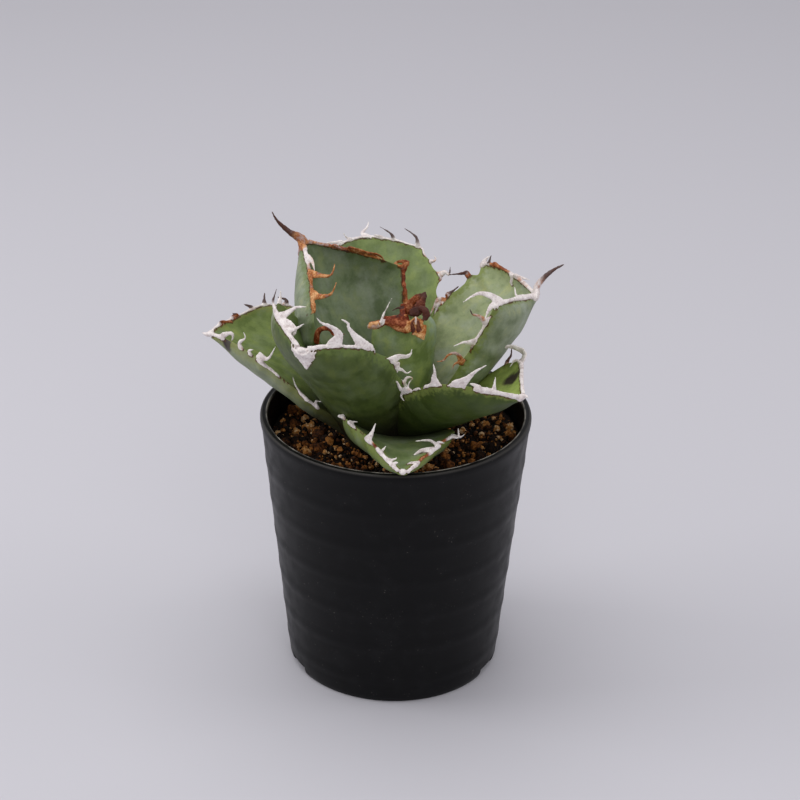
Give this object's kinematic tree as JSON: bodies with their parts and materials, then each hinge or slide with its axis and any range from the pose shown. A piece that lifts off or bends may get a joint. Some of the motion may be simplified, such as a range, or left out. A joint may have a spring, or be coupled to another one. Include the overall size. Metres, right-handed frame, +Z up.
{
  "type": "potted white whale agave titanota",
  "caption": "Small succulent rosette of thick cupped green leaves with pale toothed margins and end spines, rooted in soil in a round black tapered nursery pot.",
  "frame": {"origin": "middle of the pot's foot, on the surface that it stands on", "axes": "+Z up along the pot's axis, -Y towards the viewer of the picture"},
  "size_m": [0.1225, 0.1186, 0.154],
  "materials": {
    "pot": "satin black moulded plastic with faint rings",
    "soil": "dark granular potting mix with tan and rust grains",
    "stem": "fibrous pale green",
    "leaf": "matt green with a grey bloom",
    "pale_margin": "corky white horn",
    "dry_margin": "dried brown horn"
  },
  "bodies": {
    "root": {"pot": "pot", "soil": "soil", "stem": "stem", "leaf_low_back_left": "leaf", "leaf_front": "leaf", "leaf_low_back_right": "leaf", "leaf_left": "leaf", "leaf_front_right": "leaf", "leaf_back": "leaf", "leaf_front_left": "leaf", "leaf_right": "leaf", "leaf_back_left": "leaf", "leaf_heart": "leaf", "bud": "leaf", "margin_low_back_left": "pale_margin", "margin_front": "pale_margin", "margin_low_back_right": "pale_margin", "margin_left": "pale_margin", "margin_front_right": "pale_margin", "margin_back": "pale_margin", "margin_front_left": "pale_margin", "margin_right": "pale_margin", "margin_back_left": "dry_margin", "margin_heart": "dry_margin", "dry_tip": "dry_margin"}
  },
  "joints": []
}
